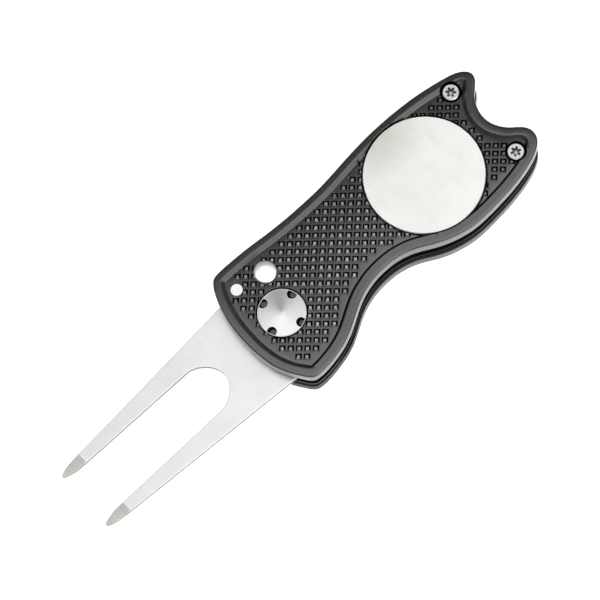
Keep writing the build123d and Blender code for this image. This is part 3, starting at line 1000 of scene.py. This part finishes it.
def turned(name, base, rough, centre, anisotropy=0.75):
    """Lathe-turned steel: concentric grain, anisotropic about the axis."""
    skin = Skin(name)
    place = skin.vector("SUBTRACT", skin.coords(), centre)
    x, y, _ = skin.axes(place)
    squares = [skin.math("MULTIPLY", axis, axis) for axis in (x, y)]
    radius = skin.math("SQRT", skin.math("ADD", *squares))
    rings = skin.add("CombineXYZ", {0: radius}).outputs[0]
    lines = skin.noise(rings, scale=2600, detail=4, rough=0.7)
    clouds = skin.noise(place, scale=160, detail=3)
    skin.set("Base Color", skin.tones(lines, clouds, 0.5, base, darker=0.07))
    skin.set("Metallic", 1.0)
    skin.set("Roughness", skin.remap(lines, low=rough - 0.05, high=rough + 0.05))
    skin.set("Anisotropic", anisotropy)
    skin.set("Tangent", skin.vector("NORMALIZE", skin.vector("CROSS_PRODUCT", (0, 0, 1), place)))
    skin.bump(lines, strength=0.08, distance=0.00001)
    return skin


def fade(skin, x, y, start, end, far=None, near_shade_tint=None):
    """Blends to a far colour away from a centre, or darkens the colour near it by a painted shade
    tint.
    """
    old = skin.colour()
    flat = skin.vector("MULTIPLY", skin.coords(), (1, 1, 0))
    radius = skin.vector("DISTANCE", flat, (x * MM, y * MM, 0), result="Value")
    factor = skin.remap(radius, start=start * MM, end=end * MM)
    near = old
    if near_shade_tint:
        near, far = skin.vector("MULTIPLY", old, near_shade_tint), old
    skin.set("Base Color", skin.mix(factor, near, far))


def dull(skin, start, end, level):
    """Lowers a moulding's sheen to a level below x = start."""
    x = skin.axes(skin.coords())[0]
    full = skin.bsdf.inputs["Specular IOR Level"].default_value
    sheen = skin.remap(x, low=level, high=full, start=start * MM, end=end * MM)
    skin.set("Specular IOR Level", sheen)


def paint_recess_shade(skin, start, end, level):
    """Paints shade into a tail screw below a height, but for a pale boss at its centre."""
    x, y, z = skin.axes(skin.coords())
    factor = skin.remap(skin.math("ABSOLUTE", z), start=start * MM, end=end * MM)
    distances = []
    for tail_x, tail_y, _ in TAIL:
        flat = skin.add("CombineXYZ", {0: x, 1: y}).outputs[0]
        centre = (tail_x * MM, tail_y * MM, 0)
        distances.append(skin.vector("DISTANCE", flat, centre, result="Value"))
    near = skin.math("MINIMUM", *distances)
    boss = skin.remap(near, low=0.75, high=0, start=0.26 * MM, end=0.42 * MM)
    factor = skin.math("MAXIMUM", factor, boss)
    skin.set("Base Color", skin.mix(factor, (level, level, level), skin.colour()))


def use(ob, skin):
    if not ob.data.materials:
        ob.data.materials.append(skin.material)
    for slot in ob.material_slots:
        slot.link = "OBJECT"
        slot.material = skin.material


black = plastic("black_moulding_skin")
# painted shade: the rear scale's moulding has less sheen than the front's, so its walls read
# darker
back = plastic("black_moulding_rear_painted_shade", shine=0.25, rough=0.36)
# painted shade: near-black moulding for the stud grooves, the foot groove and the hole walls and
# steps
shade = plastic("moulding_painted_shade", base=(0.0004, 0.0004, 0.0004), paler_tone=(0.0010, 0.0010, 0.0010),
                rough=0.6, shine=0.03)
# stud tops: pale partly from wear and partly as a painted highlight
rubbed_highlit_skin = plastic("moulding_rubbed_top_painted_highlight", base=(0.03, 0.03, 0.0295), paler_tone=(0.20, 0.20, 0.196),
                 rough=0.25, shine=0.7)
# the painted highlight on the stud tops fades to dark from 9 to 34 mm away from x 13, y -5
fade(rubbed_highlit_skin, x=13.0, y=-5.0, start=9.0, end=34.0, far=(0.018, 0.018, 0.018))
# painted shade: the rear scale's sheen drops further towards its -X end
dull(back, start=7.0, end=13.0, level=0.03)
liner = steel("black_oxide_steel", base=(0.012, 0.012, 0.0125), rough=0.45,
              grain=(20, 500, 500), spread=0.006)
# painted shade: the blade's colour darkens towards the tips, from x -14 to -45 mm
blade = steel("satin_blade_steel", base=(0.42, 0.42, 0.415), rough=0.36,
              grain=(260, 520, 520), spread=0.035,
              lean=dict(start=-45 * MM, low=0.86, end=-14 * MM, high=1.0))
# side walls of the blade: rougher sheared steel, darkened further as painted shade
sheared_shaded_edge = steel("sheared_blade_edge_painted_shade", base=(0.16, 0.16, 0.16), rough=0.45,
                grain=(60, 60, 900), spread=0.05)
ground = steel("ground_tip_steel", base=(0.255, 0.255, 0.24), rough=0.42,
               grain=(900, 60, 60), spread=0.07, depth=0.2)
# painted light on the marker: its colour brightens towards +X, and a beige painted shade darkens
# it near its +Y edge
disc = steel("satin_marker_steel", base=(0.495, 0.495, 0.483), rough=0.33,
             grain=(180, 120, 240), rotation=(0, 0, 0.6), spread=0.028,
             lean=dict(start=30 * MM, low=0.95, end=52 * MM, high=1.07))
fade(disc, x=39.0, y=15.5, start=2.5, end=11.0, near_shade_tint=(0.80, 0.795, 0.75))
nut = turned("turned_nut_steel", base=(0.385, 0.385, 0.38), rough=0.28, centre=(0, 0, 0))
pivot_screw = turned("turned_screw_steel", base=(0.42, 0.42, 0.415), rough=0.25,
                     centre=(0, 0, 0))
button = turned("polished_button_steel", base=(0.66, 0.66, 0.65), rough=0.42,
                centre=(BUTTON[0] * MM, BUTTON[1] * MM, 0), anisotropy=0.0)
bright = steel("bright_pin_steel", base=(0.48, 0.48, 0.47), rough=0.25, grain=(400, 400, 400))
tail_screw = steel("bright_screw_steel", base=(0.40, 0.40, 0.395), rough=0.28,
                   grain=(400, 400, 400))
# painted shade inside the tail screws, below their top
paint_recess_shade(tail_screw, start=4.86, end=4.97, level=0.05)
spring = steel("spring_wire_steel", base=(0.42, 0.42, 0.42), rough=0.25,
               grain=(300, 300, 300), spread=0.08)
plated = steel("nickel_plated_magnet", base=(0.6, 0.58, 0.54), rough=0.22,
               grain=(200, 200, 200), spread=0.05)
nylon = plastic("washer_nylon", base=(0.5, 0.49, 0.46), paler_tone=(0.58, 0.57, 0.54), rough=0.42)

for ob, skins in (
    (front, (black, shade, rubbed_highlit_skin)),
    (rear, (back, shade, rubbed_highlit_skin)),
    (fork, (blade, sheared_shaded_edge, ground)),
):
    for skin in skins:
        ob.data.materials.append(skin.material)
FINISH = {
    "front_liner": liner, "rear_liner": liner, "spine_spacer": liner, "tail_standoffs": bright,
    "pivot_sleeve": bright, "pivot_nut": nut, "pivot_screw": pivot_screw,
    "front_washer": nylon, "rear_washer": nylon, "spring_anchor_pin": bright,
    "stop_pin": bright, "tail_screws": tail_screw, "marker_magnet": plated,
    "ball_marker": disc, "button": button, "lock_plunger": bright, "fork_drive_pin": bright,
}
for name, skin in FINISH.items():
    use(nodes[name], skin)
use(collar, nut)
for coil in coils:
    use(coil, spring)


# ------------------------------------------------------------------ stage
def build_floor():
    """Pale glowing floor just under the rear rim, clear from below."""
    z = -Z_RIM * MM - 0.00002
    mesh = bpy.data.meshes.new("floor")
    mesh.from_pydata([(-3, -3, z), (3, -3, z), (3, 3, z), (-3, 3, z)], [], [(0, 1, 2, 3)])
    floor = bpy.data.objects.new("floor", mesh)
    bpy.context.scene.collection.objects.link(floor)
    skin = Skin("pale_floor")
    skin.set("Base Color", (0.9, 0.9, 0.9, 1))
    skin.set("Roughness", 0.9)
    skin.set("Specular IOR Level", 0.1)
    skin.set("Emission Color", (1, 1, 1, 1))
    skin.set("Emission Strength", 0.35)
    clear = skin.add("BsdfTransparent").outputs[0]
    behind = skin.add("NewGeometry").outputs["Backfacing"]
    mixer = skin.add("MixShader", {0: behind, 1: skin.bsdf.outputs[0], 2: clear})
    skin.feed(skin.output.inputs[0], mixer.outputs[0])
    mesh.materials.append(skin.material)


def build_world():
    """Soft studio dome: overhead box, lower bright spot on the -Y side, dim surround."""
    box_strength, surround_strength, spot_strength = 3.3, 0.36, 3.2
    spot_direction = Vector((0.12, -0.87, 0.49)).normalized()
    world = bpy.data.worlds.new("studio")
    bpy.context.scene.world = world
    sky = Nodes(world)
    output = sky.add("OutputWorld")
    background = sky.add("Background")
    sky.feed(output.inputs[0], background.outputs[0])
    direction = sky.coords("Generated")
    x, y, z = sky.axes(direction)

    def ramp(value, start, end, low=0, high=1):
        return sky.remap(value, low, high, start, end, interpolation_type="SMOOTHSTEP")

    # the direction projected on a level ceiling
    up = sky.math("MAXIMUM", z, 0.05)
    across = sky.math("DIVIDE", x, up)
    along = sky.math("DIVIDE", y, up)
    off_middle = sky.math("ABSOLUTE", across)
    slant = sky.math("ADD", along, sky.math("MULTIPLY", across, 0.6))
    # the box's soft sides, slanting +Y edge, -Y edge and horizon
    sides = ramp(off_middle, start=0.9, end=1.5, low=1, high=0)
    slant_edge = ramp(slant, start=0.03, end=0.66, low=1, high=0)
    box = sky.math("MULTIPLY", sides, slant_edge)
    box = sky.math("MULTIPLY", box, ramp(along, start=-1.7, end=-1.2))
    box = sky.math("MULTIPLY", box, ramp(z, start=0.1, end=0.3))
    facing = sky.vector("DOT_PRODUCT", direction, spot_direction, result="Value")
    spot = ramp(facing, start=0.86, end=0.97)
    total = sky.math("ADD", sky.math("MULTIPLY", box, box_strength), surround_strength)
    total = sky.math("ADD", total, sky.math("MULTIPLY", spot, spot_strength))
    sky.feed(background.inputs["Strength"], total)
    sky.feed(background.inputs["Color"], (1, 1, 1, 1))


def build_camera():
    """Long lens above the handle's -Y side."""
    # unit vectors of the camera's right, up and backward directions
    axes = (
        (0.733366, -0.674349, -0.086183),
        (0.668400, 0.692062, 0.272565),
        (-0.124160, -0.257494, 0.958270),
    )
    data = bpy.data.cameras.new("camera")
    data.lens = 165
    data.sensor_width = 36
    data.sensor_fit = "HORIZONTAL"
    data.clip_start = 0.01
    data.clip_end = 20
    camera = bpy.data.objects.new("camera", data)
    bpy.context.scene.collection.objects.link(camera)
    matrix = Matrix(axes).transposed().to_4x4()
    matrix.translation = Vector((-0.06390, -0.14225, 0.53221))
    camera.matrix_world = matrix
    bpy.context.scene.camera = camera
    bpy.context.scene.view_settings.view_transform = "Standard"


build_floor()
build_world()
build_camera()
